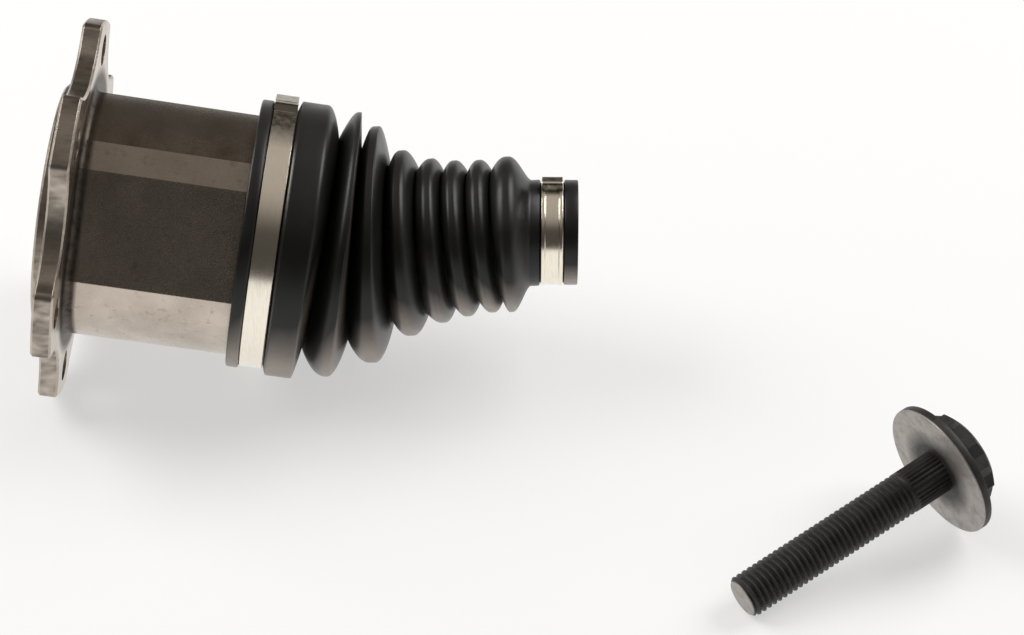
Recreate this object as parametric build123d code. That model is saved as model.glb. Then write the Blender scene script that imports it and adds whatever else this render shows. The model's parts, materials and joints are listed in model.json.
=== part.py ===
from build123d import *
import math
import os

# Drive shaft, joint end. Millimetres. The origin is the centre of the flange's mounting face.
# +X runs level along the bar, +Z is up. The joint's own axis slopes down by joint_slope from +X.
joint_slope = 9.9

# How far a cut runs past the face it opens, and how near counts as the same place
past = 1.0
near = 0.1

# Flange
bolt_circle_d = 108.0
bolt_hole_d = 10.5
bolt_count = 6
flange_lobe_reach = 9.8
flange_waist_depth = 11.8
flange_t = 6.5
lobe_half_angle = 11.7
lobe_corner_r = 3.0
flange_edge_bevel = 0.7
flange_root_r = 2.0
spigot_r = 41.0
spigot_height = 4.0
spigot_bevel = 0.7

# Housing outside: three round lobes with a narrow bevel and a wide flat between them
track_count = 3
housing_r = 41.6
housing_length = 81.0
housing_lobe_angle = 19.0
flat_share = 0.851
flat_half_angle = 27.5
housing_edge_bevel = 1.0

# Roller tracks and clearance bore inside the housing
ball_pitch_share = 0.649
track_gap = 0.3
track_roof_gap = 1.5
track_flank_angle = 57.0
track_corner_r = 2.5
clear_bore_share = 0.625
mouth_flare = 3.0
mouth_flare_depth = 5.0

# Outer rollers, needles and inner rings
roller_share = 0.4447
roller_width = 12.0
roller_crown_offset = 4.5
roller_end_bevel = 0.8
roller_wall = 2.84
needle_r = 1.5
needle_length = 8.6
needle_play = 0.03
needle_gap = 0.15
needle_fill = 0.97
inner_ring_wall = 1.7
inner_ring_width = 11.0
edge_break = 0.4
snap_ring_t = 1.0
snap_groove_depth = 0.8
snap_groove_play = 0.05
snap_ring_gap = 0.3
snap_split_angle = 16.0

# Spider: hub and three ball-ended trunnions
ball_play = 0.3
ball_end_share = 0.57
trunnion_neck_share = 0.85
hub_wall = 5.6
hub_taper = 2.2
hub_shoulder = 2.0
hub_land_half_width = 5.0
centre_drill_r = 2.2

# Bar and its circlip
bar_r = 13.5
spline_step = 1.7
spline_teeth = 28
tooth_height = 1.0
tooth_root_half = 0.85
tooth_tip_half = 0.45
spline_play = 0.05
bar_end_bevel = 1.2
circlip_t = 1.2
circlip_groove_depth = 0.9
circlip_height = 3.2
circlip_play = 0.1
circlip_end_land = 2.4
circlip_split_angle = 40.0

# End cap and its seal, in the flange's back
cap_seat_r = 38.5
cap_play = 0.05
cap_t = 3.5
cap_recess = 0.5
cap_dish_r = 24.0
cap_dish_depth = 1.2
seal_r = 0.95
seal_groove_depth = 2.0

# How far inside the housing's mouth the lower roller pair stands
roller_depth = 26.0

# Boot: big collar on the housing
boot_wall = 2.2
collar_reach = 20.4
collar_lip_wall = 3.9
collar_lip_width = 4.2
band_seat_wall = 2.0
band_seat_width = 8.2
step_slope = 0.3
boot_fit = 0.15
cavity_depth = 7.0

# Boot: the folds fill fold_run, from the housing's mouth to the neck. For each fold: its place and
# the half width of its crest as shares of fold_run, its crest and the valley after it as shares of housing_r,
# and how far it leans from upright, towards the joint's end
fold_run = 74.4
folds = [
    (-0.033, 0.0680, 1.132, 0.885, 9.9),
    (0.175, 0.0215, 1.087, 0.776, 9.1),
    (0.322, 0.0376, 0.964, 0.630, 0.9),
    (0.469, 0.0323, 0.757, 0.601, -4.3),
    (0.610, 0.0228, 0.671, 0.567, -6.2),
    (0.719, 0.0215, 0.637, 0.548, -7.2),
    (0.831, 0.0202, 0.623, 0.548, -7.3),
    (0.936, 0.0215, 0.632, 0.462, -2.8),
]
fold_valley_land = 0.6
crest_top = 0.4
crest_shoulder = 0.7
bend_lead = 1.0
bend_run = 88.2
fold_lag = 6.0

# Boot: small collar on the bar
neck_wall = 4.1
neck_width = 5.6
neck_taper = 2.5
small_seat_wall = 3.0
small_seat_width = 8.0
small_lip_wall = 3.9
small_lip_width = 4.7
bar_gap = 0.3
neck_cavity_end = 0.8

# Clamp bands
band_width = 7.6
band_t = 1.1
band_play = 0.05
small_band_width = 7.4
small_band_t = 0.9
small_band_gap = 0.3
ear_height = 3.0
ear_length = 13.0
ear_wall = 1.1
small_ear_height = 2.8
small_ear_length = 10.0
ear_lean_back = 25.0
small_ear_lean_back = 2.0

# Hub bolt, lying beside the joint on the same level
bolt_r = 7.0
bolt_length = 77.0
bolt_tip_bevel = 1.2
bolt_flange_r = 22.3
bolt_flange_t = 3.2
bolt_cone_t = 1.6
bolt_cone_r = 17.0
bolt_head_af = 27.0
bolt_head_h = 8.5
bolt_head_bevel = 1.4
bolt_head_dish_r = 7.5
bolt_head_dish_depth = 1.5
bolt_tip_x = 222.7
bolt_tip_y = -125.4
bolt_heading = 32.9

slope = math.radians(joint_slope)

# The flange's tips and waists, and the joint's section, follow the bolt circle and housing_r
flange_tip_r = bolt_circle_d / 2 + flange_lobe_reach
flange_waist_r = flange_tip_r - flange_waist_depth
flat_distance = flat_share * housing_r
clear_bore_r = clear_bore_share * housing_r
ball_pitch_r = ball_pitch_share * housing_r
roller_r = roller_share * housing_r
roller_crown_r = roller_r - roller_crown_offset
race_r = roller_r - roller_wall
inner_ring_r = race_r - 2 * (needle_r + needle_play)
ball_r = inner_ring_r - inner_ring_wall - ball_play
trunnion_neck_r = trunnion_neck_share * ball_r
hub_half_width = trunnion_neck_r + hub_shoulder
spline_r = bar_r - spline_step
spline_root_r = spline_r - tooth_height
hub_r = spline_r + hub_wall
half_pitch = ball_pitch_r / 2

# The two lower balls' line is the hinge; it stands at lower_rollers_at on the joint's axis
lower_rollers_at = housing_length - roller_depth
hinge_x = lower_rollers_at * math.cos(slope) - half_pitch * math.sin(slope)
hinge_z = -lower_rollers_at * math.sin(slope) - half_pitch * math.cos(slope)
bar_z = hinge_z + half_pitch
top_roller_at = lower_rollers_at - (ball_pitch_r + half_pitch) * math.sin(slope)
track_angles = {"top": 0, "front": 120, "back": 240}

# Places along the joint's sloping axis, then level places along X
cap_start = cap_recess - spigot_height
collar_start = housing_length - collar_reach
band_seat_start = collar_start + collar_lip_width
band_seat_r = housing_r + band_seat_wall
cavity_start = housing_length - cavity_depth
mouth_x = housing_length * math.cos(slope)
bend_start_x = mouth_x - bend_lead
bend_end_x = mouth_x + bend_run
neck_start = mouth_x + fold_run
small_seat_start = neck_start + neck_width
small_seat_r = bar_r + small_seat_wall + bar_gap
boot_end = small_seat_start + small_seat_width + small_lip_width


def rad(deg):
    return math.radians(deg)


def polar(r, deg):
    return (r * math.cos(rad(deg)), r * math.sin(rad(deg)))


def sloped(shape):
    """Turns a shape modelled along +X onto the joint's sloping axis."""
    return Rot(0, joint_slope, 0) * shape


def on_bar(shape):
    """Moves a shape modelled about the spider's centre onto the bar's level axis."""
    return Pos(hinge_x, 0, bar_z) * shape


def turned_about_x(points):
    """A solid turned about X from an outline of (x, r) points."""
    return revolve(Plane.XZ * make_face(Polyline(*points, close=True)), Axis.X)


def prism_x(sketch, start, length):
    return Pos(start, 0, 0) * extrude(Plane.YZ * sketch, length)


def flange_outline():
    """Six round-cornered lobes with a shallow hollow between each two."""
    step = 360 / bolt_count
    edge = step / 2 - lobe_half_angle
    edge_x, edge_y = polar(flange_tip_r, edge)
    cutter_at = (edge_x**2 + edge_y**2 - flange_waist_r**2) / (2 * (edge_x - flange_waist_r))
    cutter_r = cutter_at - flange_waist_r
    outline = Circle(flange_tip_r)
    for k in range(bolt_count):
        x, y = polar(cutter_at, (k + 0.5) * step)
        outline -= Pos(x, y) * Circle(cutter_r)
    corners = [v for v in outline.vertices() if abs(math.hypot(v.X, v.Y) - flange_tip_r) < near]
    return fillet(corners, lobe_corner_r)


def bolt_hole_places():
    return [polar(bolt_circle_d / 2, k * 360 / bolt_count) for k in range(bolt_count)]


def housing_outline(grow=0.0):
    """Outside section: each lobe is an arc, then a bevel down to the flats on both sides."""
    r = housing_r + grow
    flat_edge_r = (flat_distance + grow) / math.cos(rad(flat_half_angle))
    step = 360 / track_count
    flat_edge = step / 2 - flat_half_angle
    edges = []
    for k in range(track_count):
        mid = 90 + k * step
        start = polar(r, mid - housing_lobe_angle)
        end = polar(r, mid + housing_lobe_angle)
        flat_a = polar(flat_edge_r, mid + flat_edge)
        flat_b = polar(flat_edge_r, mid + step - flat_edge)
        next_start = polar(r, mid + step - housing_lobe_angle)
        edges.append(ThreePointArc(start, polar(r, mid), end))
        edges.append(Line(end, flat_a))
        edges.append(Line(flat_a, flat_b))
        edges.append(Line(flat_b, next_start))
    return make_face(edges)


def track_section():
    """One track seen along the joint, its trunnion axis along the sketch's y."""
    flank_r = roller_crown_r + track_gap
    centre_u = roller_r + track_gap - flank_r
    low = ball_pitch_r - flank_r * math.sin(rad(track_flank_angle))
    roof = ball_pitch_r + roller_width / 2 + track_roof_gap
    def flank(v):
        return centre_u + math.sqrt(flank_r**2 - (v - ball_pitch_r) ** 2)
    widest = (centre_u + flank_r, ball_pitch_r)
    right = ThreePointArc((flank(low), low), widest, (flank(roof), roof))
    left = ThreePointArc((-flank(roof), roof), (-widest[0], widest[1]), (-flank(low), low))
    top = Line((flank(roof), roof), (-flank(roof), roof))
    base = Line((-flank(low), low), (flank(low), low))
    section = make_face([right, top, left, base])
    corners = [v for v in section.vertices() if v.Y > roof - near]
    return fillet(corners, track_corner_r)


def joint_housing():
    body = prism_x(flange_outline(), 0, flange_t)
    body = chamfer(body.faces().sort_by(Axis.X)[-1].outer_wire().edges(), flange_edge_bevel)
    body = chamfer(body.faces().sort_by(Axis.X)[0].outer_wire().edges(), flange_edge_bevel)
    barrel = prism_x(housing_outline(), 0, housing_length)
    barrel = chamfer(barrel.faces().sort_by(Axis.X)[-1].edges(), housing_edge_bevel)
    body += barrel
    root = [e for e in body.edges().filter_by_position(Axis.X, flange_t - near, flange_t + near)
            if math.hypot(e.center().Y, e.center().Z) < housing_r + past]
    body = fillet(root, flange_root_r)
    spigot = prism_x(Circle(spigot_r), -spigot_height, spigot_height + near)
    body += chamfer(spigot.edges().sort_by(Axis.X)[0], spigot_bevel)
    for y, z in bolt_hole_places():
        body -= prism_x(Pos(y, z) * Circle(bolt_hole_d / 2), -past, flange_t + 2 * past)
    inside = Circle(clear_bore_r)
    for k in range(track_count):
        inside += Rot(0, 0, k * 360 / track_count) * track_section()
    body -= prism_x(inside, -spigot_height - past, spigot_height + housing_length + 2 * past)
    body -= turned_about_x([
        (housing_length - mouth_flare_depth, 0),
        (housing_length - mouth_flare_depth, clear_bore_r),
        (housing_length, clear_bore_r + mouth_flare),
        (housing_length + past, clear_bore_r + mouth_flare),
        (housing_length + past, 0),
    ])
    body -= prism_x(Circle(cap_seat_r), -spigot_height - past, past + cap_recess + cap_t)
    return sloped(body)


def end_cap():
    r = cap_seat_r - cap_play
    start = cap_start
    middle = start + cap_t / 2
    groove = seal_r + cap_play
    return sloped(turned_about_x([
        (start + cap_dish_depth, 0),
        (start + cap_dish_depth, cap_dish_r - cap_dish_depth),
        (start, cap_dish_r),
        (start, r - edge_break),
        (start + edge_break, r),
        (middle - groove, r),
        (middle - groove, r - seal_groove_depth),
        (middle + groove, r - seal_groove_depth),
        (middle + groove, r),
        (start + cap_t, r),
        (start + cap_t, 0),
    ]))


def end_cap_seal():
    ring = Torus(cap_seat_r - cap_play - seal_r, seal_r)
    return sloped(Pos(cap_start + cap_t / 2, 0, 0) * Rot(0, 90, 0) * ring)


def on_track(shape, where):
    """Sets a shape modelled about a trunnion's ball centre, axis +Z, into its track."""
    station = top_roller_at if where == "top" else lower_rollers_at
    place = Pos(station, 0, 0) * Rot(track_angles[where], 0, 0) * Pos(0, 0, ball_pitch_r)
    return sloped(place * shape)


def turned_about_z(edges):
    return revolve(Plane.XZ * make_face(edges), Axis.Z)


def inner_ring():
    bore = ball_r + ball_play
    half = inner_ring_width / 2
    outside = inner_ring_r
    return turned_about_z(Polyline(
        (bore, -half + edge_break),
        (bore + edge_break, -half),
        (outside - edge_break, -half),
        (outside, -half + edge_break),
        (outside, half - edge_break),
        (outside - edge_break, half),
        (bore + edge_break, half),
        (bore, half - edge_break),
        close=True,
    ))


def needle_set():
    centre = inner_ring_r + needle_play + needle_r
    count = int(needle_fill * math.pi / math.asin(needle_r / centre))
    needle = Cylinder(needle_r, needle_length)
    return Compound(children=[
        Rot(0, 0, k * 360 / count) * Pos(centre, 0, 0) * needle for k in range(count)
    ])


def snap_groove():
    """Where the two snap ring grooves start and end, from the roller's middle."""
    start = needle_length / 2 + needle_gap - snap_groove_play
    return start, start + snap_ring_t + 2 * snap_groove_play


def outer_roller():
    race = race_r
    half = roller_width / 2
    start, end = snap_groove()
    groove_r = race + snap_groove_depth
    crown_at = roller_r - roller_crown_r
    side = half - roller_end_bevel
    side_r = crown_at + math.sqrt(roller_crown_r**2 - side**2)
    crown = ThreePointArc((side_r, side), (roller_r, 0), (side_r, -side))
    rest = Polyline(
        (side_r, -side),
        (side_r - roller_end_bevel, -half),
        (race, -half),
        (race, -end),
        (groove_r, -end),
        (groove_r, -start),
        (race, -start),
        (race, start),
        (groove_r, start),
        (groove_r, end),
        (race, end),
        (race, half),
        (side_r - roller_end_bevel, half),
        (side_r, side),
    )
    return turned_about_z([crown, rest])


def snap_rings():
    start = snap_groove()[0] + snap_groove_play
    outside = race_r + snap_groove_depth - snap_groove_play
    inside = inner_ring_r + snap_ring_gap
    ring = Circle(outside) - Circle(inside)
    split = outside * math.tan(rad(snap_split_angle / 2))
    ring -= Pos((outside + inside) / 2, 0) * Rectangle(outside, 2 * split)
    ring = extrude(ring, snap_ring_t)
    return Compound(children=[
        Pos(0, 0, start) * ring,
        Rot(0, 0, 180) * Pos(0, 0, -start - snap_ring_t) * ring,
    ])


def spline_section(grow=0.0):
    """The bar's splined section; grow gives the spider's bore its room all round."""
    root = spline_root_r + grow
    tip = spline_r + grow
    tooth = make_face(Polyline(
        (root - tooth_height, -tooth_root_half - grow),
        (tip, -tooth_tip_half - grow),
        (tip, tooth_tip_half + grow),
        (root - tooth_height, tooth_root_half + grow),
        close=True,
    ))
    section = Circle(root)
    for k in range(spline_teeth):
        section += Rot(0, 0, k * 360 / spline_teeth) * tooth
    return section


def trunnion():
    cut = ball_end_share * ball_r
    tip = ball_pitch_r + cut
    tip_r = math.sqrt(ball_r**2 - cut**2)
    neck = ball_pitch_r - math.sqrt(ball_r**2 - trunnion_neck_r**2)
    ball = ThreePointArc((trunnion_neck_r, neck), (ball_r, ball_pitch_r), (tip_r, tip))
    rest = Polyline(
        (tip_r, tip),
        (centre_drill_r, tip),
        (0, tip - centre_drill_r),
        (0, spline_r + past),
        (trunnion_neck_r, spline_r + past),
        (trunnion_neck_r, neck),
    )
    return turned_about_z([ball, rest])


def spider():
    body = turned_about_x([
        (-hub_half_width, 0),
        (-hub_half_width, hub_r - hub_taper),
        (-hub_land_half_width, hub_r),
        (hub_land_half_width, hub_r),
        (hub_half_width, hub_r - hub_taper),
        (hub_half_width, 0),
    ])
    for angle in track_angles.values():
        body += Rot(angle, 0, 0) * trunnion()
    bore = spline_section(spline_play)
    body -= prism_x(bore, -hub_half_width - past, 2 * (hub_half_width + past))
    return on_bar(body)


def circlip_start():
    return -hub_half_width - circlip_play - circlip_t


def shaft_bar():
    groove_r = spline_root_r - circlip_groove_depth
    clip = circlip_start()
    end = boot_end - hinge_x
    inner_end = clip - circlip_play - circlip_end_land
    body = turned_about_x([
        (inner_end, 0),
        (inner_end, spline_r - bar_end_bevel),
        (inner_end + bar_end_bevel, spline_r),
        (clip - circlip_play, spline_r),
        (clip - circlip_play, groove_r),
        (clip + circlip_t + circlip_play, groove_r),
        (clip + circlip_t + circlip_play, spline_r),
        (hub_half_width, spline_r),
        (hub_half_width + spline_step, bar_r),
        (end, bar_r),
        (end, 0),
    ])
    spaces = Circle(spline_r + past) - spline_section()
    return on_bar(body - prism_x(spaces, inner_end - past, hub_half_width - inner_end + past))


def spider_circlip():
    inside = spline_root_r - circlip_groove_depth + circlip_play
    outside = inside + circlip_height
    ring = Circle(outside) - Circle(inside)
    mouth = 2 * outside * math.tan(rad(circlip_split_angle / 2))
    ring -= Pos(0, -outside) * Rectangle(mouth, outside + inside)
    return on_bar(prism_x(ring, circlip_start(), circlip_t))


def boot_line(x):
    """Height of the boot's bent centre line, and how far its folds lean from upright, at x."""
    run = bend_end_x - bend_start_x
    fall = math.tan(slope)
    def height(at):
        if at <= bend_start_x:
            return -at * fall
        t = min((at - bend_start_x) / run, 1.0)
        start = 2 * t**3 - 3 * t**2 + 1
        pull = t**3 - 2 * t**2 + t
        return -start * bend_start_x * fall - pull * run * fall + (1 - start) * bar_z
    behind = max(x - fold_lag, 0)
    lean = math.atan((height(behind - past) - height(behind + past)) / (2 * past))
    return height(x), lean


def boot_section(x, r, lean=None):
    z, own_lean = boot_line(x)
    lean = own_lean if lean is None else lean
    normal = (math.cos(lean), 0, -math.sin(lean))
    return Plane(origin=(x, 0, z), x_dir=(0, 1, 0), z_dir=normal) * Circle(r)


def on_joint_axis(station):
    return station * math.cos(slope)


def fold_after(k):
    return folds[k + 1] if k < len(folds) - 1 else None


def boot_stations():
    """The boot's outside from end to end, as (x, radius, lean or None for the line's own)."""
    lip_r = housing_r + collar_lip_wall
    stations = [
        (on_joint_axis(collar_start), lip_r, slope),
        (on_joint_axis(band_seat_start - step_slope), lip_r, slope),
        (on_joint_axis(band_seat_start), band_seat_r, slope),
        (on_joint_axis(band_seat_start + band_seat_width), band_seat_r, slope),
    ]
    for k, (place, half_share, crest_share, valley_share, fold_lean) in enumerate(folds):
        x = mouth_x + place * fold_run
        land = half_share * fold_run
        crest = crest_share * housing_r
        lean = rad(fold_lean)
        stations.append((x - land, crest - crest_shoulder, lean))
        stations.append((x - land * crest_top, crest, lean))
        stations.append((x + land * crest_top, crest, lean))
        stations.append((x + land, crest - crest_shoulder, lean))
        if fold_after(k):
            next_place, next_half = fold_after(k)[:2]
            low = (x + land + mouth_x + (next_place - next_half) * fold_run) / 2
            stations.append((low - fold_valley_land, valley_share * housing_r, None))
            stations.append((low + fold_valley_land, valley_share * housing_r, None))
    neck_r = bar_r + bar_gap + neck_wall
    small_lip_r = bar_r + bar_gap + small_lip_wall
    stations += [
        (neck_start + neck_taper, neck_r, 0),
        (small_seat_start - step_slope, neck_r, 0),
        (small_seat_start, small_seat_r, 0),
        (small_seat_start + small_seat_width, small_seat_r, 0),
        (small_seat_start + small_seat_width + step_slope, small_lip_r, 0),
        (boot_end, small_lip_r, 0),
    ]
    return stations


def boot():
    outside = loft([boot_section(*s) for s in boot_stations()], ruled=True)
    cavity_x = on_joint_axis(cavity_start)
    cavity = [(cavity_x, folds[0][2] * housing_r - boot_wall, slope)]
    for x, r, lean in boot_stations():
        if cavity_x < x < neck_start:
            cavity.append((x, r - boot_wall, lean))
    end_x = neck_start + neck_cavity_end
    bore_r = bar_r + bar_gap
    cavity.append((end_x, bore_r, 0))
    inside = loft([boot_section(*s) for s in cavity], ruled=True)
    body = outside - inside
    seat_reach = cavity_start - collar_start + 2 * past
    body -= sloped(prism_x(housing_outline(boot_fit), collar_start - past, seat_reach))
    bore = prism_x(Circle(bore_r), end_x - past, boot_end - end_x + 2 * past)
    return body - Pos(0, 0, bar_z) * bore


def band_with_ear(inside, thickness, width, height, length, lean_back):
    """A clamp band about X from x = 0, with a hollow crimped ear bridging its ends."""
    outside = inside + thickness
    ring = Circle(outside) - Circle(inside)
    top = outside + height
    block = Pos(0, (inside + top) / 2) * Rectangle(length, top - inside)
    block = fillet(block.vertices().group_by(Axis.Y)[-1], ear_wall)
    hole = Pos(0, (outside + top - ear_wall) / 2)
    hole *= Rectangle(length - 2 * ear_wall, top - ear_wall - outside)
    ring += block
    ring -= Circle(inside)
    ring -= hole
    return Rot(-lean_back, 0, 0) * prism_x(ring, 0, width)


def large_clamp():
    start = band_seat_start + (band_seat_width - band_width) / 2
    band = band_with_ear(
        band_seat_r + band_play, band_t, band_width, ear_height, ear_length, ear_lean_back)
    return sloped(Pos(start, 0, 0) * band)


def small_clamp():
    start = small_seat_start + (small_seat_width - small_band_width) / 2
    band = band_with_ear(
        small_seat_r + small_band_gap, small_band_t, small_band_width,
        small_ear_height, small_ear_length, small_ear_lean_back)
    return Pos(start, 0, bar_z) * band


def hub_bolt(floor_z):
    """Turned along +Z from its tip, then laid on its tip and its flange's rim at floor_z."""
    body = revolve(Plane.XZ * make_face(Polyline(
        (0, 0),
        (bolt_r - bolt_tip_bevel, 0),
        (bolt_r, bolt_tip_bevel),
        (bolt_r, bolt_length),
        (bolt_flange_r, bolt_length),
        (bolt_flange_r, bolt_length + bolt_flange_t),
        (bolt_cone_r, bolt_length + bolt_flange_t + bolt_cone_t),
        (0, bolt_length + bolt_flange_t + bolt_cone_t),
        close=True,
    )), Axis.Z)
    head_start = bolt_length + bolt_flange_t
    corner_r = bolt_head_af / math.sqrt(3)
    twelve_point = RegularPolygon(corner_r, 6) + Rot(0, 0, 30) * RegularPolygon(corner_r, 6)
    head = Pos(0, 0, head_start) * extrude(twelve_point, bolt_head_h)
    top = head_start + bolt_head_h
    rounding = revolve(Plane.XZ * make_face(Polyline(
        (0, head_start),
        (corner_r + past, head_start),
        (corner_r + past, top - bolt_head_bevel),
        (bolt_head_af / 2, top),
        (0, top),
        close=True,
    )), Axis.Z)
    body += head & rounding
    body -= Pos(0, 0, top) * Cylinder(bolt_head_dish_r, 2 * bolt_head_dish_depth)
    climb = math.atan2(bolt_flange_r - bolt_r, bolt_length - bolt_tip_bevel)
    tip_z = floor_z + bolt_r * math.cos(climb) - bolt_tip_bevel * math.sin(climb)
    heading = rad(bolt_heading)
    along = (math.cos(climb) * math.cos(heading), math.cos(climb) * math.sin(heading), math.sin(climb))
    return Plane(origin=(bolt_tip_x, bolt_tip_y, tip_z), x_dir=(0, 0, 1), z_dir=along) * body


def build():
    housing = joint_housing()
    nodes = {
        "joint_housing": housing,
        "end_cap": end_cap(),
        "end_cap_seal": end_cap_seal(),
        "spider": spider(),
        "spider_circlip": spider_circlip(),
        "shaft_bar": shaft_bar(),
        "boot": boot(),
        "large_clamp": large_clamp(),
        "small_clamp": small_clamp(),
        "hub_bolt": hub_bolt(housing.bounding_box().min.Z),
    }
    for where in track_angles:
        nodes["inner_ring_" + where] = on_track(inner_ring(), where)
        nodes["needle_rollers_" + where] = on_track(needle_set(), where)
        nodes["outer_roller_" + where] = on_track(outer_roller(), where)
        nodes["snap_rings_" + where] = on_track(snap_rings(), where)
    return nodes


os.makedirs("parts", exist_ok=True)
for name, shape in build().items():
    export_step(shape, f"parts/{name}.step")
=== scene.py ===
"""Looks of a drive shaft's inner joint with its boot and loose hub bolt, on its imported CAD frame."""

import json
import math

import bpy
from mathutils import Matrix, Vector


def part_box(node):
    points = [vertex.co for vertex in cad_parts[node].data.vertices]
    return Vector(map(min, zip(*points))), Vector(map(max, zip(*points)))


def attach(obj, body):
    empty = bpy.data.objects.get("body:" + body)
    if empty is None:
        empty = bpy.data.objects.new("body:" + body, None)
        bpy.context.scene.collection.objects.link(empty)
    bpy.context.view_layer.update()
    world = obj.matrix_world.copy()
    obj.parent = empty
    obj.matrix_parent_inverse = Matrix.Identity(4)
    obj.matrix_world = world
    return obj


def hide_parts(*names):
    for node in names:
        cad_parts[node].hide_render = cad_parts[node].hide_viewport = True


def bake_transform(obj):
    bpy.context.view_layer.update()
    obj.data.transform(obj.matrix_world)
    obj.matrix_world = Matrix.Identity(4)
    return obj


MM = 0.001
rad = math.radians
edge_softness = 0.3 * MM

# The joint's axis slopes down from the flange, in the frame whose origin is the flange's face
joint_slope = rad(9.9)
housing_r = 41.6
housing_length = 81.0
housing_lobe_angle = 19.0
flat_share = 0.851
flat_half_angle = 27.5
bar_r = 13.5
bar_z = -9.255
flange_t = 6.5
joint_axis = (math.cos(joint_slope), 0, -math.sin(joint_slope))

# Boot: collars
collar_reach = 20.4
collar_lip_wall = 3.9
collar_lip_width = 4.2
band_seat_wall = 2.0
band_seat_width = 8.2
boot_fit = 0.15
lip_edge = 0.7
# Millimetres past a crest or lip over which the painted reflection of the floor fades out
painted_sheen_fade = 2.5
neck_width = 5.6
neck_wall = 4.4
small_seat_wall = 3.3
small_seat_width = 8.0
small_lip_wall = 4.2
small_lip_width = 4.7
small_edge = 0.4
bar_gap = 0.3
seat_step = 0.05

# Boot: each fold's place and half width as shares of fold_run, its crest and the valley after it as
# shares of housing_r, and its lean in degrees
fold_run = 74.4
folds = [
    (-0.033, 0.0680, 1.124, 0.860, 9.9),
    (0.175, 0.0215, 1.087, 0.776, 9.1),
    (0.322, 0.0376, 0.964, 0.630, 0.9),
    (0.469, 0.0323, 0.757, 0.588, -4.3),
    (0.610, 0.0228, 0.671, 0.547, -6.2),
    (0.719, 0.0215, 0.637, 0.524, -7.2),
    (0.831, 0.0202, 0.623, 0.524, -7.3),
    (0.936, 0.0215, 0.632, 0.462, -2.8),
]

# Boot: the flat share of each crest, and how far (mm) and how askew (degrees) the first valleys lie
crest_flats = [0.8, 0.3, 0.35, 0.3, 0.3, 0.3, 0.3, 0.3]
valley_shifts = {0: -1.7, 1: -0.8}
valley_leans = {0: 3.0, 1: 1.8}
flank_hollow = 0.9
last_flank_hollow = 1.5
neck_taper = 2.5
bend_lead = 1.0
bend_run = 88.2
fold_lag = 6.0
flank_rings = 12
crest_rings = 5
ring_points = 144

# Large clamp: its band's outside, past which only its ear reaches
large_band_r = 44.75

# Small clamp: raised rims and a crimped ear, about the bar's axis
small_band_gap = 0.3
small_band_t = 0.9
small_band_width = 7.4
small_rim_width = 1.5
small_rim_height = 0.35
small_rim_edge = 0.25
small_ear_height = 2.5
small_ear_length = 5.0
small_ear_wall = 1.0
small_ear_corner = 1.2
small_ear_inner_corner = 0.5
small_ear_sink = 0.3
small_ear_inset = 0.3
small_ear_lean_back = rad(7.0)

# Hub bolt, in its own frame: z from its tip
bolt_r = 7.0
bolt_length = 77.0
bolt_tip_bevel = 1.2
thread_pitch = 2.0
thread_depth = 1.1
thread_flat = 0.12
knurl_length = 13.0
knurl_ridges = 30
knurl_depth = 0.45
knurl_fade = 1.5
bolt_flange_r = 22.3
bolt_flange_t = 3.2
bolt_cone_t = 1.6
bolt_cone_r = 17.0
bolt_head_af = 27.0
bolt_head_h = 8.5
bolt_head_bevel = 1.4
bolt_dish_r = 7.5
bolt_dish_depth = 1.5
bolt_face_r = 12.5
bolt_edge = 0.5
bolt_overlap = 0.5
bolt_points = 240

# Camera, fitted to the photo
camera_at = (159.9, -594.1, 452.8)
camera_pitch = 40.07
camera_yaw = -0.93
camera_roll = -0.15
focal_px = 2227
image_width = 1024
sensor_mm = 36.0
floor_size = 120
floor_seen = 0.55
floor_mirrored = 0.85

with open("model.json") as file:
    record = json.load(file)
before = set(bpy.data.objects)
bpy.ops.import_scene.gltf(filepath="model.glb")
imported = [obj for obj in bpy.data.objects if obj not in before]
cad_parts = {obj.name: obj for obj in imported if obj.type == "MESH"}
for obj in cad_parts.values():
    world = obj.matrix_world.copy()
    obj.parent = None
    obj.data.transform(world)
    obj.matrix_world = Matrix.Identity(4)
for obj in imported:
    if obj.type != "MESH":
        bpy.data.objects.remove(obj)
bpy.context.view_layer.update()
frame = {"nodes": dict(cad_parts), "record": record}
nodes = frame["nodes"]
record = frame["record"]


# Shader helpers


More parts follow.
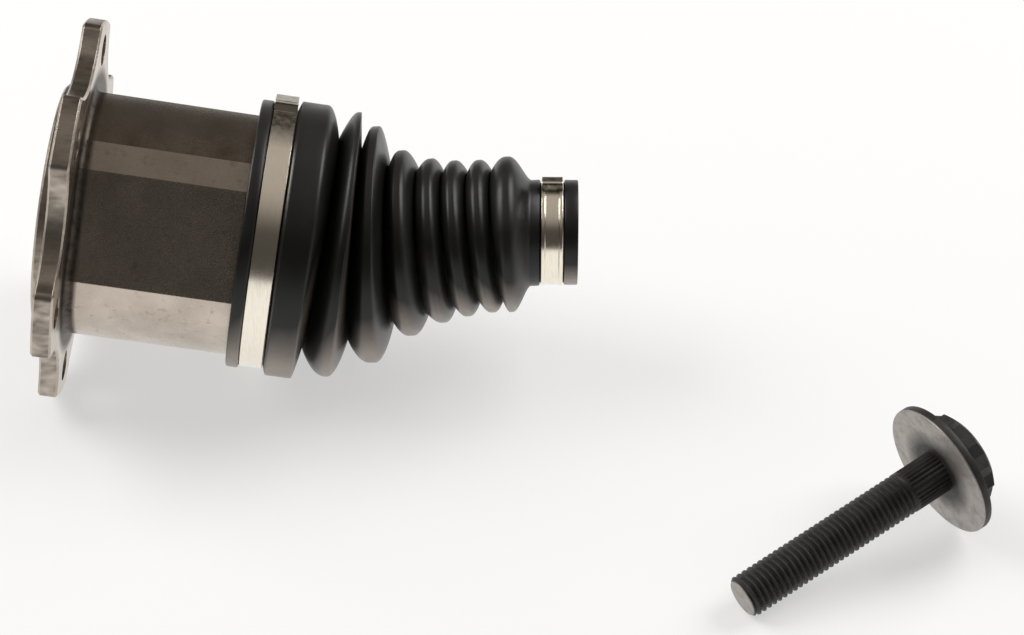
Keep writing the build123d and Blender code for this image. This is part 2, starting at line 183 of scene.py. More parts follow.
class Shader:
    """A node material built step by step. Colours are linear (r, g, b)."""

    def __init__(self, name):
        self.material = bpy.data.materials.new(name)
        self.material.use_nodes = True
        self.tree = self.material.node_tree
        self.bsdf = self.tree.nodes["Principled BSDF"]
        self.place = self.add("ShaderNodeTexCoord").outputs["Object"]

    def add(self, kind, **settings):
        node = self.tree.nodes.new(kind)
        for key, value in settings.items():
            setattr(node, key, value)
        return node

    def put(self, socket, value):
        if isinstance(value, bpy.types.NodeSocket):
            self.tree.links.new(value, socket)
        elif isinstance(value, tuple) and len(socket.default_value) == 4:
            socket.default_value = (*value, 1)
        else:
            socket.default_value = value

    def set(self, node, **values):
        for key, value in values.items():
            self.put(node.inputs[key.replace("_", " ")], value)

    def stretched(self, scale, turn=(0, 0, 0)):
        """The place, stretched per axis, for grain that runs one way."""
        mapping = self.add("ShaderNodeMapping")
        self.set(mapping, Vector=self.place, Scale=scale, Rotation=turn)
        return mapping.outputs["Vector"]

    def noise(self, scale, detail=4.0, rough=0.55, place=None):
        node = self.add("ShaderNodeTexNoise")
        self.set(node, Vector=place or self.place, Scale=scale, Detail=detail, Roughness=rough)
        return node.outputs["Fac"]

    def remap(self, value, low, high, start=0.0, end=1.0):
        node = self.add("ShaderNodeMapRange")
        self.set(node, Value=value, From_Min=low, From_Max=high, To_Min=start, To_Max=end)
        return node.outputs["Result"]

    def math(self, operation, a, b):
        node = self.add("ShaderNodeMath", operation=operation)
        self.put(node.inputs[0], a)
        self.put(node.inputs[1], b)
        return node.outputs[0]

    def mix(self, factor, a, b):
        node = self.add("ShaderNodeMix", data_type="RGBA")
        self.put(node.inputs[0], factor)
        self.put(node.inputs[6], a)
        self.put(node.inputs[7], b)
        return node.outputs[2]

    def bump(self, height, strength, distance, under=None):
        node = self.add("ShaderNodeBump")
        self.set(node, Height=height, Strength=strength, Distance=distance)
        if under:
            self.set(node, Normal=under)
        self.set(self.bsdf, Normal=node.outputs["Normal"])

    def soft_edges(self):
        node = self.add("ShaderNodeBevel", samples=6)
        self.set(node, Radius=edge_softness)
        return node.outputs["Normal"]


def steel(name, light, dark, rough):
    """Bare metal: two tones mottled together, fine grain in roughness and height, softened edges."""
    s = Shader(name)
    cloud = s.noise(60.0, 5.0, 0.6)
    fine = s.noise(900.0, 3.0, 0.6)
    tone = s.mix(s.remap(cloud, 0.35, 0.68), dark, light)
    tone = s.mix(s.remap(fine, 0.3, 0.7, 0.0, 0.3), tone, dark)
    s.set(s.bsdf, Base_Color=tone, Metallic=1.0)
    s.set(s.bsdf, Roughness=s.remap(fine, 0.25, 0.75, rough - 0.05, rough + 0.07))
    s.bump(fine, 0.15, 0.0002, s.soft_edges())
    return s.material


def rubber(name, tone, rough):
    """Moulded black rubber with a faint dusty bloom, and a painted reflection of the pale floor that makes
    crests and lips that face down paler.
    """
    s = Shader(name)
    dust = s.noise(45.0, 6.0, 0.65)
    skin = s.noise(1600.0, 2.0, 0.5)
    apart = s.add("ShaderNodeSeparateXYZ")
    s.set(apart, Vector=s.add("ShaderNodeTexCoord").outputs["Normal"])
    crest = s.add("ShaderNodeAttribute", attribute_name="painted_sheen").outputs["Fac"]
    # Crests and lips that face down get a pale tan colour and a higher specular level: a painted reflection
    # of the floor
    under = s.math("MULTIPLY", crest, s.remap(apart.outputs["Z"], 0.02, -0.45))
    patchy = s.math("MULTIPLY", under, s.remap(dust, 0.3, 0.6, 0.6, 1.0))
    bloom = s.mix(s.remap(dust, 0.5, 0.85, 0.0, 0.3), tone, (0.035, 0.035, 0.032))
    s.set(s.bsdf, Base_Color=s.mix(patchy, bloom, (0.42, 0.355, 0.30)), Metallic=0.0)
    s.set(s.bsdf, Specular_IOR_Level=s.remap(under, 0.0, 1.0, 0.38, 0.9))
    s.set(s.bsdf, Roughness=s.remap(dust, 0.3, 0.7, rough - 0.04, rough + 0.1))
    s.bump(skin, 0.1, 0.0001)
    return s.material


def clamp_steel():
    """Bright strip with fine lines round it, darkened with painted shade and some dirt on its ears' sides
    and on faces that look up and back.
    """
    s = Shader("clamp_steel_look")
    facing = s.add("ShaderNodeSeparateXYZ")
    s.set(facing, Vector=s.add("ShaderNodeTexCoord").outputs["Normal"])
    cloud = s.noise(30.0, 5.0, 0.6)
    dirt = s.noise(500.0, 4.0, 0.6)
    lines = s.noise(220.0, 3.0, 0.6, s.stretched((18, 1, 1)))
    tone = s.mix(s.remap(cloud, 0.35, 0.68), (0.90, 0.83, 0.71), (0.99, 0.93, 0.81))
    tone = s.mix(s.remap(lines, 0.4, 0.75, 0.0, 0.4), tone, (0.74, 0.66, 0.55))
    above = s.add("ShaderNodeVectorMath", operation="DOT_PRODUCT")
    s.put(above.inputs[0], s.place)
    above.inputs[1].default_value = (math.sin(joint_slope), 0, math.cos(joint_slope))
    large_ear = s.remap(above.outputs["Value"], (large_band_r + 0.1) * MM, (large_band_r + 0.4) * MM)
    ear = s.math("MAXIMUM", large_ear, s.add("ShaderNodeAttribute", attribute_name="ear").outputs["Fac"])
    # Painted shade with some dirt: the ears' sides, and faces that look up and away from the front, go dark
    # brown
    sides = s.math("MULTIPLY", ear, s.remap(facing.outputs["Z"], 0.93, 0.75))
    on_top = s.remap(facing.outputs["Z"], 0.8, 0.92)
    behind = s.math("MULTIPLY", s.remap(facing.outputs["Y"], -0.2, 0.05), on_top)
    shade_and_dirt = s.math("MULTIPLY", s.math("MAXIMUM", sides, behind), s.remap(dirt, 0.3, 0.6, 0.65, 0.95))
    s.set(s.bsdf, Base_Color=s.mix(shade_and_dirt, tone, (0.06, 0.05, 0.035)), Metallic=1.0)
    polish = s.remap(lines, 0.25, 0.75, 0.16, 0.26)
    s.set(s.bsdf, Roughness=s.math("ADD", polish, s.math("MULTIPLY", shade_and_dirt, 0.2)))
    s.bump(lines, 0.08, 0.0001, s.soft_edges())
    return s.material


def housing_steel():
    """Machined forging: bright sides, painted shade in brown on faces that look up (darker where they face
    back), darker at the flange's root, a rough rim.
    """
    s = Shader("housing_steel_look")
    normal = s.add("ShaderNodeTexCoord").outputs["Normal"]
    facing = s.add("ShaderNodeSeparateXYZ")
    s.set(facing, Vector=normal)
    along = s.add("ShaderNodeVectorMath", operation="DOT_PRODUCT")
    s.put(along.inputs[0], s.place)
    along.inputs[1].default_value = joint_axis
    station = along.outputs["Value"]
    cloud = s.noise(60.0, 5.0, 0.6)
    stain = s.noise(330.0, 3.0, 0.7)
    fine = s.noise(900.0, 3.0, 0.6, s.stretched((1, 14, 14)))
    hatch = s.noise(420.0, 2.0, 0.5, s.stretched((0.35, 1.0, 0.6), (0.5, 0, 0)))
    tone = s.mix(s.remap(cloud, 0.35, 0.68), (0.46, 0.395, 0.335), (0.60, 0.525, 0.45))
    tone = s.mix(s.remap(stain, 0.58, 0.75, 0.0, 0.35), tone, (0.12, 0.09, 0.07))
    # Painted shade: faces that look up are drawn brown, darker where they also face back, with a faint
    # share on steeper upward faces
    thin_top_shade = s.remap(facing.outputs["Z"], 0.6, 0.75, 0.0, 0.4)
    top_shade = s.math("MAXIMUM", s.remap(facing.outputs["Z"], 0.85, 0.92), thin_top_shade)
    top_shade = s.math("MULTIPLY", top_shade, s.remap(cloud, 0.3, 0.6, 0.85, 1.0))
    brown = s.mix(s.remap(facing.outputs["Y"], 0.15, -0.25), (0.16, 0.135, 0.11), (0.088, 0.071, 0.054))
    tone = s.mix(top_shade, tone, brown)
    rim = s.remap(station, (flange_t - 0.05) * MM, (flange_t - 0.35) * MM)
    end_on = s.add("ShaderNodeVectorMath", operation="DOT_PRODUCT")
    s.put(end_on.inputs[0], normal)
    end_on.inputs[1].default_value = joint_axis
    edge_on = s.remap(s.math("ABSOLUTE", end_on.outputs["Value"], 0.0), 0.8, 0.5)
    rough_rim = s.math("MULTIPLY", s.math("MULTIPLY", rim, edge_on), s.remap(hatch, 0.3, 0.7))
    tone = s.mix(s.math("MULTIPLY", rough_rim, 0.8), tone, (0.15, 0.13, 0.11))
    # Darker towards the flange's root and close to the barrel, in patches, and rougher there
    off_axis = s.add("ShaderNodeVectorMath", operation="CROSS_PRODUCT")
    s.put(off_axis.inputs[0], s.place)
    off_axis.inputs[1].default_value = joint_axis
    out = s.add("ShaderNodeVectorMath", operation="LENGTH")
    s.set(out, Vector=off_axis.outputs["Vector"])
    root = s.remap(station, (flange_t + 4.2) * MM, (flange_t + 2.8) * MM)
    close_in = s.remap(out.outputs["Value"], (housing_r + 8) * MM, (housing_r + 4) * MM)
    root = s.math("MULTIPLY", root, close_in)
    scale = s.math("MULTIPLY", s.math("SUBTRACT", 1.0, rim), root)
    patchy_root_dark = s.math("MULTIPLY", scale, s.remap(stain, 0.3, 0.7, 0.97, 0.75))
    tone = s.mix(patchy_root_dark, tone, (0.035, 0.027, 0.02))
    s.set(s.bsdf, Base_Color=tone, Metallic=1.0)
    worn = s.remap(fine, 0.25, 0.75, 0.21, 0.33)
    coarse = s.math("MAXIMUM", rough_rim, scale)
    s.set(s.bsdf, Roughness=s.math("ADD", worn, s.math("MULTIPLY", coarse, 0.22)))
    height = s.math("ADD", fine, s.math("MULTIPLY", rough_rim, 2.0))
    s.bump(height, 0.15, 0.0002, s.soft_edges())
    return s.material


def bolt_steel():
    """Black phosphated steel, worn bare on the flange's bearing face and on the tip; the face stays black
    next to the shank as painted shade.
    """
    s = Shader("bolt_steel_look")
    apart = s.add("ShaderNodeSeparateXYZ")
    s.set(apart, Vector=s.place)
    along = apart.outputs["Z"]
    across = s.add("ShaderNodeVectorMath", operation="LENGTH")
    s.set(across, Vector=s.stretched((1, 1, 0)))
    out = across.outputs["Value"]
    cloud = s.noise(220.0, 5.0, 0.65)
    fine = s.noise(1400.0, 3.0, 0.6)
    face_start = s.remap(along, (bolt_length - 0.4) * MM, (bolt_length - 0.2) * MM)
    face_end = s.remap(along, (bolt_length + 0.7) * MM, (bolt_length + 0.3) * MM)
    # The bearing face stays black near the shank as painted shade of the shank; farther out it is worn bare
    ring = s.remap(out, (bolt_face_r - 3) * MM, (bolt_face_r + 3.5) * MM)
    worn = s.math("MULTIPLY", s.math("MULTIPLY", face_start, face_end), ring)
    tip = s.remap(along, 0.35 * MM, 0.05 * MM)
    bare = s.math("MAXIMUM", worn, tip)
    patchy = s.math("MULTIPLY", bare, s.remap(cloud, 0.25, 0.55, 0.55, 1.0))
    black = s.mix(s.remap(cloud, 0.4, 0.7), (0.020, 0.019, 0.018), (0.045, 0.040, 0.036))
    s.set(s.bsdf, Base_Color=s.mix(patchy, black, (0.42, 0.39, 0.36)))
    s.set(s.bsdf, Metallic=s.remap(patchy, 0, 1, 0.3, 0.95))
    s.set(s.bsdf, Roughness=s.remap(fine, 0.25, 0.75, 0.44, 0.58))
    s.bump(fine, 0.2, 0.0001, s.soft_edges())
    return s.material


materials = {
    "housing_steel": housing_steel(),
    "zinc_steel": steel("zinc_steel_look", (0.60, 0.59, 0.56), (0.42, 0.41, 0.38), 0.30),
    "seal_rubber": rubber("seal_rubber_look", (0.012, 0.012, 0.012), 0.45),
    "boot_rubber": rubber("boot_rubber_look", (0.0078, 0.0078, 0.007), 0.36),
    "clamp_steel": clamp_steel(),
    "bearing_steel": steel("bearing_steel_look", (0.66, 0.66, 0.66), (0.50, 0.50, 0.50), 0.16),
    "spring_steel": steel("spring_steel_look", (0.20, 0.20, 0.21), (0.10, 0.10, 0.11), 0.38),
    "bar_steel": steel("bar_steel_look", (0.30, 0.28, 0.26), (0.16, 0.15, 0.14), 0.40),
    "bolt_steel": bolt_steel(),
}

slot_of = {part["node"]: part["material_slot"] for part in record["subparts"]}
for name, obj in nodes.items():
    obj.data.materials.clear()
    obj.data.materials.append(materials[slot_of[name]])


# Mesh helpers


def new_mesh(name, vertices, faces, slot, place=Matrix.Identity(4)):
    """A smooth mesh from places in millimetres, in the frame or in its own place in it."""
    mesh = bpy.data.meshes.new(name)
    mesh.from_pydata([Vector(v) * MM for v in vertices], [], faces)
    mesh.validate()
    mesh.polygons.foreach_set("use_smooth", [True] * len(mesh.polygons))
    mesh.materials.append(materials[slot])
    obj = bpy.data.objects.new(name, mesh)
    obj.matrix_world = place
    bpy.context.scene.collection.objects.link(obj)
    return obj


def ring_faces(rows, count, closed=False):
    """Quads between consecutive rings of `count` points; closed joins the last ring to the first."""
    faces = []
    for i in range(rows if closed else rows - 1):
        after = (i + 1) % rows
        for j in range(count):
            k = (j + 1) % count
            faces.append((i * count + j, after * count + j, after * count + k, i * count + k))
    return faces


def smooth_by_angle(obj, degrees):
    for other in bpy.context.selected_objects:
        other.select_set(False)
    bpy.context.view_layer.objects.active = obj
    obj.select_set(True)
    bpy.ops.object.shade_smooth_by_angle(angle=rad(degrees))
    obj.select_set(False)


# Boot

mouth_x = housing_length * math.cos(joint_slope)
collar_start = housing_length - collar_reach
band_seat_start = collar_start + collar_lip_width
band_seat_end = band_seat_start + band_seat_width
bend_start_x = mouth_x - bend_lead
bend_end_x = mouth_x + bend_run
neck_start = mouth_x + fold_run
small_seat_start = neck_start + neck_width
small_seat_end = small_seat_start + small_seat_width
boot_end = small_seat_end + small_lip_width


def line_height(at):
    """Height of the boot's bent centre line at x."""
    fall = math.tan(joint_slope)
    run = bend_end_x - bend_start_x
    if at <= bend_start_x:
        return -at * fall
    t = min((at - bend_start_x) / run, 1.0)
    start = 2 * t**3 - 3 * t**2 + 1
    pull = t**3 - 2 * t**2 + t
    return -start * bend_start_x * fall - pull * run * fall + (1 - start) * bar_z


def line_lean(x):
    behind = max(x - fold_lag, 0.0)
    return math.atan((line_height(behind - 1) - line_height(behind + 1)) / 2)


def housing_outline(angle_deg):
    """Radius of the collar's bore at an angle from a lobe's middle."""
    a = abs((angle_deg + 60) % 120 - 60)
    flat = flat_share * housing_r + boot_fit
    r = housing_r + boot_fit
    edge = 60 - flat_half_angle
    if a <= housing_lobe_angle:
        return r
    if a >= edge:
        return flat / math.cos(rad(60 - a))
    p = Vector((math.cos(rad(housing_lobe_angle)), math.sin(rad(housing_lobe_angle)))) * r
    q = Vector((math.cos(rad(edge)), math.sin(rad(edge)))) * flat / math.cos(rad(flat_half_angle))
    d = q - p
    return (p.x * d.y - p.y * d.x) / (math.cos(rad(a)) * d.y - math.sin(rad(a)) * d.x)


def boot_ring(x, r, lean):
    """One ring of the boot. r is a number, or a function of the angle from straight up, in degrees."""
    up = Vector((math.sin(lean), 0, math.cos(lean)))
    centre = Vector((x, 0, line_height(x)))
    points = []
    for j in range(ring_points):
        a = 360 * j / ring_points
        radius = r(a) if callable(r) else r
        points.append(centre + up * (radius * math.cos(rad(a))) - Vector((0, radius * math.sin(rad(a)), 0)))
    return points


def fold_place(k):
    """Where a fold's crest stands and its half width, in millimetres."""
    return mouth_x + folds[k][0] * fold_run, folds[k][1] * fold_run


def valley_after(k):
    """Place and radius of the valley after a fold; the last one is the neck."""
    if k == len(folds) - 1:
        return neck_start + neck_taper, bar_r + neck_wall
    at, half = fold_place(k)
    next_at, next_half = fold_place(k + 1)
    middle = (at + half + next_at - next_half) / 2
    return middle + valley_shifts.get(k, 0), folds[k][3] * housing_r


def flank(low, high, share, hollow=flank_hollow):
    """A point on a fold's side from a valley (share 0) to a crest (1), with a rounded crest."""
    rise = math.sin(share * math.pi / 2) ** hollow
    return low[0] + (high[0] - low[0]) * share, low[1] + (high[1] - low[1]) * rise


def rounded_step(start, end, r, edge):
    """A lip's outside between two places, its two edges rounded."""
    return [
        (start, r - edge), (start + edge * 0.3, r - edge * 0.3), (start + edge, r),
        (end - edge, r), (end - edge * 0.3, r - edge * 0.3), (end, r - edge),
    ]


def boot_profile():
    """The outside from end to end as (x, radius, lean), dense over the folds."""
    on_axis = math.cos(joint_slope)
    seat_r = housing_r + band_seat_wall
    lip_end, seat_end = band_seat_start * on_axis, band_seat_end * on_axis
    lip = rounded_step(collar_start * on_axis, lip_end, housing_r + collar_lip_wall, lip_edge)
    profile = [(x, r, joint_slope) for x, r in lip]
    profile += [(lip_end + seat_step, seat_r, joint_slope), (seat_end - seat_step, seat_r, joint_slope)]
    before, before_lean = (seat_end, seat_r), joint_slope
    for k, (_, _, crest_share, _, lean_deg) in enumerate(folds):
        x, half = fold_place(k)
        reach = half * crest_flats[k]
        crest_r = crest_share * housing_r
        lean = rad(lean_deg)
        for i in range(flank_rings):
            share = i / flank_rings
            at, r = flank(before, (x - reach, crest_r), share)
            profile.append((at, r, before_lean + (lean - before_lean) * share))
        for i in range(crest_rings):
            profile.append((x - reach + 2 * reach * i / (crest_rings - 1), crest_r, lean))
        low, low_lean, hollow = valley_after(k), 0.0, last_flank_hollow
        if k < len(folds) - 1:
            low_lean, hollow = line_lean(low[0]) + rad(valley_leans.get(k, 0)), flank_hollow
        for i in range(1, flank_rings + 1):
            share = 1 - i / flank_rings
            at, r = flank(low, (x + reach, crest_r), share, hollow)
            profile.append((at, r, low_lean + (lean - low_lean) * share))
        before, before_lean = low, low_lean
    neck_r, small_seat_r = bar_r + neck_wall, bar_r + small_seat_wall
    profile += [(small_seat_start - small_edge, neck_r, 0), (small_seat_start, neck_r - small_edge, 0)]
    profile += [(small_seat_start + seat_step, small_seat_r, 0), (small_seat_end, small_seat_r, 0)]
    lip = rounded_step(small_seat_end + seat_step, boot_end, bar_r + small_lip_wall, small_edge)
    profile += [(x, r, 0) for x, r in lip]
    profile.append((boot_end, bar_r + bar_gap, 0))
    return profile


profile = boot_profile()
ring_x = [profile[0][0]] + [p[0] for p in profile]
rings = [boot_ring(ring_x[0], housing_outline, joint_slope)] + [boot_ring(*p) for p in profile]
seam_x = valley_after(1)[0]
seam = min(range(len(ring_x)), key=lambda i: abs(ring_x[i] - seam_x))


def painted_sheen_at(x):
    """How far a ring lies out on a lip or a crest, where its downward faces get a painted reflection of the
    floor: 0 to 1.
    """
    if x < band_seat_start or x > small_seat_end:
        return 1.0
    beyond = [max(0.0, abs(x - at) - half) for at, half in map(fold_place, range(len(folds)))]
    return max(0.0, 1 - min(beyond) / painted_sheen_fade)


def boot_piece(name, part, places):
    """A stretch of the boot from its rings, whose places along x say how much painted floor reflection each
    takes.
    """
    points = [p for ring in part for p in ring]
    piece = new_mesh(name, points, ring_faces(len(part), ring_points), "boot_rubber")
    # A per-point mask for where the painted reflection of the floor goes: crests and lips
    painted_sheen = piece.data.attributes.new("painted_sheen", "FLOAT", "POINT")
    painted_sheen.data.foreach_set("value", [painted_sheen_at(x) for x in places for _ in range(ring_points)])
    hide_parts("boot")
    return piece


boot_big_end = boot_piece("boot_big_end", rings[:seam + 1], ring_x[:seam + 1])
boot_small_end = boot_piece("boot_small_end", rings[seam:], ring_x[seam:])
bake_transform(boot_big_end)
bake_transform(boot_small_end)


# Small clamp: a band with rolled edges and its crimped ear


def small_clamp():
    inside = bar_r + small_seat_wall + small_band_gap
    outside = inside + small_band_t
    width, rim, proud, soft = small_band_width, small_rim_width, small_rim_height, small_rim_edge
    middle = outside - proud
    outline = [
        (0, inside), (0, outside - soft), (soft, outside), (rim - soft, outside), (rim, middle),
        (width - rim, middle), (width - rim + soft, outside), (width - soft, outside),
        (width, outside - soft), (width, inside),
    ]
    start = small_seat_start + (small_seat_width - width) / 2
    vertices = []
    for x, r in outline:
        for j in range(ring_points):
            a = 2 * math.pi * j / ring_points
            vertices.append((start + x, r * math.sin(a), bar_z + r * math.cos(a)))
    faces = ring_faces(len(outline), ring_points, closed=True)
    return vertices, faces, start, middle


def ear_outline(foot, height, length, wall):
    """The ear seen along the bar: up one leg, over the rounded top, down the other, and back inside."""
    half, top = length / 2, foot + height

    def arch(half, top, corner):
        points = [(-half, foot)]
        for i in range(7):
            a = math.pi - i * math.pi / 12
            points.append((-half + corner + corner * math.cos(a), top - corner + corner * math.sin(a)))
        return points + [(-u, v) for u, v in reversed(points)]

    inside = arch(half - wall, top - wall, small_ear_inner_corner)
    return arch(half, top, small_ear_corner) + list(reversed(inside))


def small_ear(start, foot, name):
    top_height = small_ear_height + small_rim_height
    sunk_foot, height = foot - small_ear_sink, top_height + small_ear_sink
    outline = ear_outline(sunk_foot, height, small_ear_length, small_ear_wall)
    lean = small_ear_lean_back
    up = Vector((0, math.sin(lean), math.cos(lean)))
    side = Vector((0, math.cos(lean), -math.sin(lean)))
    vertices = []
    for x in (start + small_ear_inset, start + small_band_width - small_ear_inset):
        vertices += [Vector((x, 0, bar_z)) + side * u + up * v for u, v in outline]
    count = len(outline)
    faces = ring_faces(2, count)
    faces += [tuple(range(count)), tuple(reversed(range(count, 2 * count)))]
    piece = new_mesh(name, vertices, faces, "clamp_steel")
    marked = piece.data.attributes.new("ear", "FLOAT", "POINT")
    marked.data.foreach_set("value", [1.0] * len(vertices))
    return piece


vertices, faces, clamp_start, band_foot = small_clamp()
clamp_band = new_mesh("small_clamp_band", vertices, faces, "clamp_steel")
clamp_ear = small_ear(clamp_start, band_foot, "small_clamp_ear")
for piece in (clamp_band, clamp_ear):
    smooth_by_angle(piece, 40)
    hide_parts("small_clamp")
    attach(piece, "shaft")


# Hub bolt


def bolt_place():
    """The loose bolt's own frame: origin at its tip's centre, +Z towards its head."""
    mount = next(m for m in record["mounts"] if m["name"] == "hub_bolt_thread")
    along = -Vector(mount["axis"]).normalized()
    length = mount["dims"]["length_mm"] * MM
    tip = Vector(mount["pos_m"]) - along * (length / 2 + bolt_length * MM - length)
    side = Vector((0, 0, 1)).cross(along).normalized()
    up = along.cross(side)
    return Matrix((
        (side.x, up.x, along.x, tip.x), (side.y, up.y, along.y, tip.y),
        (side.z, up.z, along.z, tip.z), (0, 0, 0, 1)))


def thread_radius(z, turn):
    """Sharp V thread whose crests are slightly flat, fading into the tip's bevel and the knurl."""
    phase = (z / thread_pitch - turn) % 1.0
    dip = max(0.0, abs(2 * phase - 1) - thread_flat) / (1 - thread_flat)
    fade = min(1.0, max(0.0, (bolt_length - knurl_length - z) / thread_pitch))
    return min(bolt_r - thread_depth * dip * fade, bolt_r - bolt_tip_bevel + z)


def knurl_radius(z, turn):
    """Ridges along the shank, under the flange."""
    wave = abs(2 * ((turn * knurl_ridges) % 1.0) - 1)
    fade = min(1.0, max(0.0, (z - bolt_length + knurl_length) / knurl_fade))
    return bolt_r - knurl_depth * wave * fade


def bolt_shank():
    """The threaded and ridged shank as rings from its tip up into the flange."""
    step = thread_pitch / 8
    rows = []
    z = 0.0
    while z < bolt_length - knurl_length + thread_pitch:
        rows.append((z, thread_radius))
        z += step
    while z < bolt_length:
        rows.append((z, knurl_radius))
        z += 1.0
    rows.append((bolt_length + bolt_overlap, knurl_radius))
    vertices = []
    for z, radius in rows:
        for j in range(bolt_points):
            turn = j / bolt_points
            r = min(radius(z, turn), knurl_radius(z, turn))
            vertices.append((r * math.cos(2 * math.pi * turn), r * math.sin(2 * math.pi * turn), z))
    faces = ring_faces(len(rows), bolt_points)
    faces.append(tuple(reversed(range(bolt_points))))
    return vertices, faces


def head_radius(angle):
    """Twelve points: two hexagons, one turned by 30 degrees."""
    across = bolt_head_af / 2
    spread = [abs((angle + turn) % 60 - 30) for turn in (0, 30)]
    return across / math.cos(rad(max(spread)))


def bolt_head():
    """Flange disc, cone and twelve-point head with a dished end, as rings from the bearing face up."""
    base = bolt_length + bolt_flange_t
    cone_top = base + bolt_cone_t
    top = base + bolt_head_h
    edge, top_edge, inset = bolt_edge, 0.4, 0.6
    outline = [
        (bolt_length, bolt_r - bolt_overlap), (bolt_length, bolt_flange_r - edge),
        (bolt_length + edge * 0.3, bolt_flange_r - edge * 0.3), (bolt_length + edge, bolt_flange_r),
        (base - edge, bolt_flange_r), (base - edge * 0.3, bolt_flange_r - edge * 0.3),
        (base, bolt_flange_r - edge), (cone_top, bolt_cone_r),
    ]
    rows = [[(z, r)] * bolt_points for z, r in outline]
    corner = bolt_head_af / math.sqrt(3)
    for share in (0.0, 0.5, 1.0):
        row = []
        for j in range(bolt_points):
            r = head_radius(360 * j / bolt_points)
            fall = bolt_head_bevel * max(0.0, r - bolt_head_af / 2) / (corner - bolt_head_af / 2)
            row.append((cone_top + (top - top_edge - fall - cone_top) * share, r))
        rows.append(row)
    rows.append([(top, bolt_head_af / 2 - inset)] * bolt_points)
    dish = [(top, bolt_dish_r + top_edge), (top - top_edge, bolt_dish_r)]
    dish.append((top - bolt_dish_depth, bolt_dish_r - inset))
    rows += [[(z, r)] * bolt_points for z, r in dish]
    vertices = []
    for row in rows:
        for j, (z, r) in enumerate(row):
            a = 2 * math.pi * j / bolt_points
            vertices.append((r * math.cos(a), r * math.sin(a), z))
    faces = ring_faces(len(rows), bolt_points)
    last = (len(rows) - 1) * bolt_points
    faces.append(tuple(range(last, last + bolt_points)))
    return vertices, faces


place = bolt_place()
shank = new_mesh("hub_bolt_shank", *bolt_shank(), "bolt_steel", place)
head = new_mesh("hub_bolt_head", *bolt_head(), "bolt_steel", place)
for piece in (shank, head):
    smooth_by_angle(piece, 30)
    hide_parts("hub_bolt")
    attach(piece, "hub_bolt")


# Stage: camera, pale floor, soft lights from both sides, dim surroundings


def camera():
    pitch, yaw, roll = rad(camera_pitch), rad(camera_yaw), rad(camera_roll)
    forward = Vector((math.sin(yaw) * math.cos(pitch), math.cos(yaw) * math.cos(pitch), -math.sin(pitch)))
    level_right = Vector((math.cos(yaw), -math.sin(yaw), 0))
    level_up = level_right.cross(forward)
    right = level_right * math.cos(roll) + level_up * math.sin(roll)
    up = level_up * math.cos(roll) - level_right * math.sin(roll)
    data = bpy.data.cameras.new("camera")
    data.sensor_width = sensor_mm
    data.lens = focal_px * sensor_mm / image_width
    data.clip_start, data.clip_end = 0.01, 20
    obj = bpy.data.objects.new("camera", data)
    at = Vector(camera_at) * MM
    obj.matrix_world = Matrix((
        (right.x, up.x, -forward.x, at.x), (right.y, up.y, -forward.y, at.y),
        (right.z, up.z, -forward.z, at.z), (0, 0, 0, 1)))
    bpy.context.scene.collection.objects.link(obj)
    bpy.context.scene.camera = obj


def area_light(name, at, size, watts):
    """A soft rectangle of light aimed at the object's middle."""
    data = bpy.data.lights.new(name, "AREA")
    data.shape = "RECTANGLE"
    data.size, data.size_y = size
    data.energy = watts
    obj = bpy.data.objects.new(name, data)
    obj.location = at
    middle = Vector((0.14, 0, 0))
    obj.rotation_euler = (middle - Vector(at)).to_track_quat("-Z", "Y").to_euler()
    bpy.context.scene.collection.objects.link(obj)


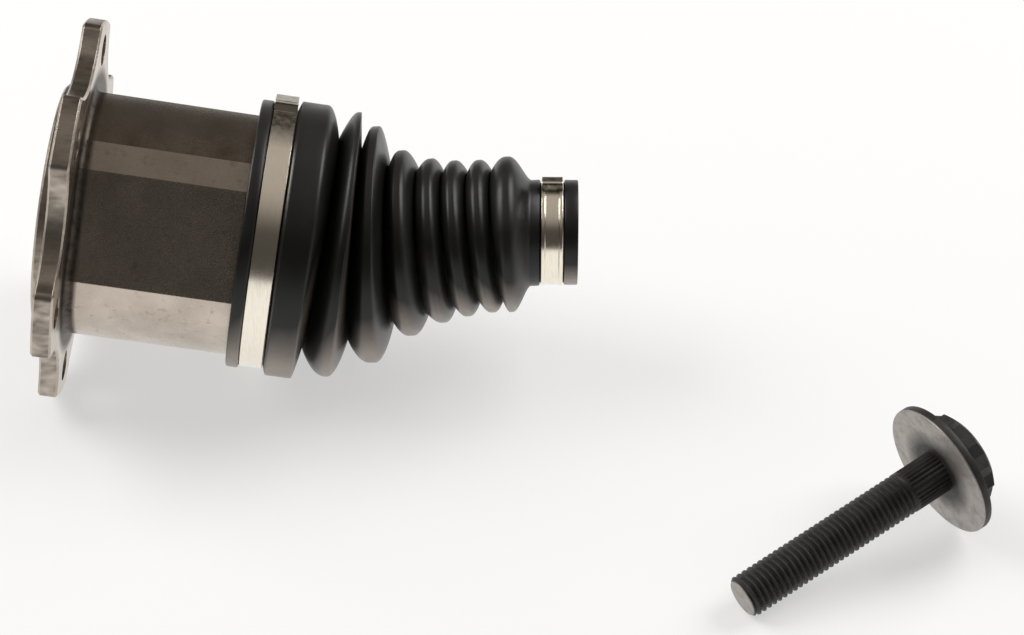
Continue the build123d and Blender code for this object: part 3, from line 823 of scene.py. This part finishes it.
def floor():
    """Pale floor, seen and reflected as nearly white, that still takes the object's shadow."""
    z = min(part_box(n)[0].z for n in nodes)
    bpy.ops.mesh.primitive_plane_add(size=floor_size, location=(0.15, 0, z))
    plane = bpy.context.object
    plane.name = "floor"
    s = Shader("floor_look")
    s.set(s.bsdf, Base_Color=(0.94, 0.94, 0.93), Roughness=0.9, Specular_IOR_Level=0.0)
    glow = s.add("ShaderNodeEmission")
    s.set(glow, Color=(1.0, 1.0, 0.995), Strength=1.0)
    path = s.add("ShaderNodeLightPath")
    mirrored = s.math("MAXIMUM", path.outputs["Is Glossy Ray"], path.outputs["Is Transmission Ray"])
    seen = s.math("MULTIPLY", path.outputs["Is Camera Ray"], floor_seen)
    share = s.math("MAXIMUM", seen, s.math("MULTIPLY", mirrored, floor_mirrored))
    mixed = s.add("ShaderNodeMixShader")
    s.put(mixed.inputs[0], share)
    s.put(mixed.inputs[1], s.bsdf.outputs[0])
    s.put(mixed.inputs[2], glow.outputs[0])
    s.put(s.tree.nodes["Material Output"].inputs["Surface"], mixed.outputs[0])
    plane.data.materials.append(s.material)


def surroundings():
    """A dim room, lighter overhead and a little behind."""
    world = bpy.data.worlds.new("surroundings")
    bpy.context.scene.world = world
    world.use_nodes = True
    tree = world.node_tree
    back = tree.nodes["Background"]
    way = tree.nodes.new("ShaderNodeTexCoord").outputs["Generated"]

    def patch(direction, inner, outer, strength):
        dot = tree.nodes.new("ShaderNodeVectorMath")
        dot.operation = "DOT_PRODUCT"
        tree.links.new(way, dot.inputs[0])
        dot.inputs[1].default_value = Vector(direction).normalized()
        ramp = tree.nodes.new("ShaderNodeMapRange")
        ramp.interpolation_type = "SMOOTHSTEP"
        tree.links.new(dot.outputs["Value"], ramp.inputs["Value"])
        ramp.inputs["From Min"].default_value = math.cos(rad(outer))
        ramp.inputs["From Max"].default_value = math.cos(rad(inner))
        ramp.inputs["To Min"].default_value = 0.0
        ramp.inputs["To Max"].default_value = strength
        return ramp.outputs["Result"]

    total = tree.nodes.new("ShaderNodeMath")
    total.operation = "ADD"
    tree.links.new(patch((0, 0.17, 0.98), 12, 60, 0.33), total.inputs[0])
    tree.links.new(patch((0, 1, 0), 12, 45, 0.20), total.inputs[1])
    whole = tree.nodes.new("ShaderNodeMath")
    whole.operation = "ADD"
    tree.links.new(total.outputs[0], whole.inputs[0])
    whole.inputs[1].default_value = 0.065
    tree.links.new(whole.outputs[0], back.inputs["Strength"])
    back.inputs["Color"].default_value = (1.0, 0.92, 0.84, 1)


camera()
floor()
surroundings()
area_light("light_right", (1.35, 0.6, 1.15), (1.2, 1.2), 22)
area_light("light_left", (-1.15, 0.35, 1.15), (1.2, 1.2), 22)

bpy.context.scene.view_settings.view_transform = "Standard"
